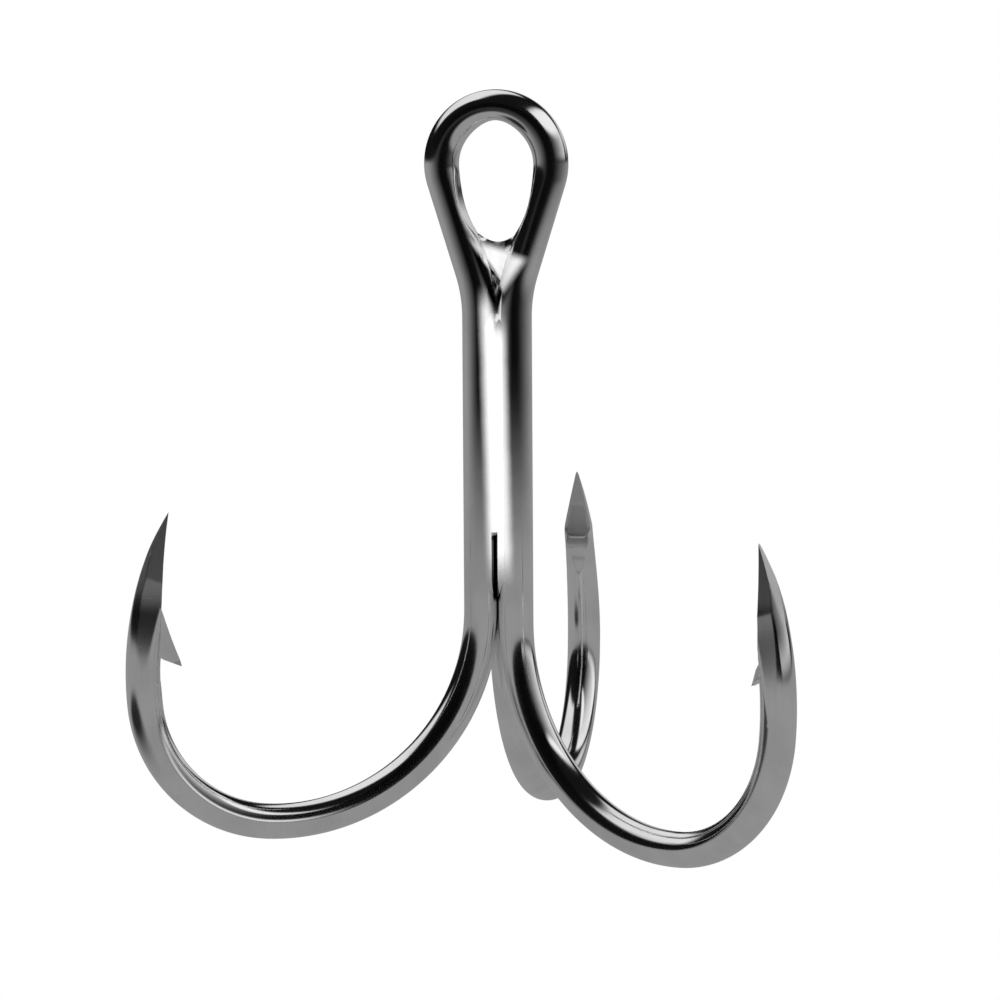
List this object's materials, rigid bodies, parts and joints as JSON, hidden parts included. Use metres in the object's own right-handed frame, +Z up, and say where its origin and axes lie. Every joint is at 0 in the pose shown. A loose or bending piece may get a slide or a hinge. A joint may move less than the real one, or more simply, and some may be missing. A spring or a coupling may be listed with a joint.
{
  "type": "treble hook",
  "caption": "Polished nickel fishing hook with barbed points set evenly around a brazed shank, hung from a closed oval wire eye.",
  "frame": {"origin": "inside the eye, where the shank's axis meets the axis of the eye's hole", "axes": "+Z up the shank towards the eye, Y along the eye's hole with the rear hook on +Y, X across the eye"},
  "size_m": [0.0324, 0.0283, 0.0366],
  "materials": {
    "plated_wire": "polished bright nickel plate",
    "plated_braze": "bright satin silver braze"
  },
  "bodies": {
    "root": {"eye_loop": "plated_wire", "left_hook": "plated_wire", "right_hook": "plated_wire", "rear_hook": "plated_wire", "front_seam_braze": "plated_braze", "left_seam_braze": "plated_braze", "right_seam_braze": "plated_braze", "core_braze": "plated_braze", "eye_web_braze": "plated_braze"}
  },
  "joints": []
}
